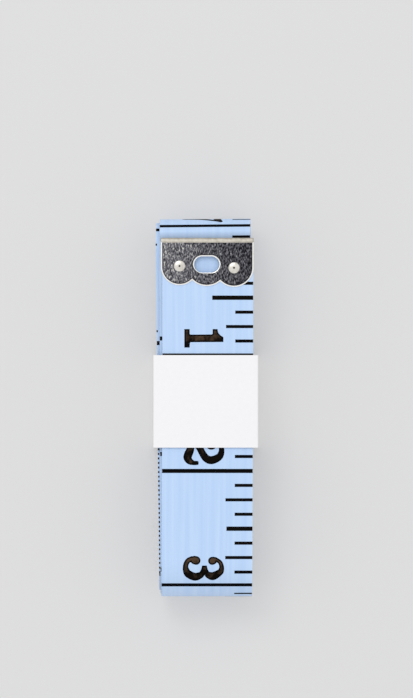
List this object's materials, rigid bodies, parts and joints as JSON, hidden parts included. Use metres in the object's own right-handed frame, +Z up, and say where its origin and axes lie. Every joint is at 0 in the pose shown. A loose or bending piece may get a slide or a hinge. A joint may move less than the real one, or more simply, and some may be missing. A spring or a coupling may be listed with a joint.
{
  "type": "cloth tape measure",
  "caption": "Soft tailor's tape measure wound flat into a hank, with scalloped metal tips riveted to its ends and a glued paper band round its middle.",
  "frame": {"origin": "on the surface that the hank lies on, under the middle of the hank's length and the band's width", "axes": "+X across the tape, towards the edge that the inch ticks stand on; +Y along the hank, towards the end that the zero tip lies near; +Z up, out of the face that shows the zero end"},
  "size_m": [0.023, 0.083, 0.0165],
  "materials": {
    "tape": "pale blue vinyl coating on woven glass cloth, satin",
    "tip_metal": "dark, streaky tin-plated steel with bright cut edges",
    "rivet_metal": "bright tinned rivet",
    "band_paper": "uncoated white paper"
  },
  "bodies": {
    "winding": {"tape_winding": "tape", "end_tip": "tip_metal", "end_tip_rivet_left": "rivet_metal", "end_tip_rivet_right": "rivet_metal"},
    "free_end": {"tape_free_end": "tape", "zero_tip": "tip_metal", "zero_tip_rivet_left": "rivet_metal", "zero_tip_rivet_right": "rivet_metal"},
    "band": {"paper_band": "band_paper"}
  },
  "joints": [
    {"name": "free_end_lift", "type": "hinge", "parent": "winding", "child": "free_end", "pos_m": [0, 0.01217, 0.01562], "axis": [1, 0, 0], "range_deg": [0, 120]},
    {"name": "band_slide", "type": "slide", "parent": "winding", "child": "band", "axis": [0, -1, 0], "range_m": [0, 0.056]}
  ]
}
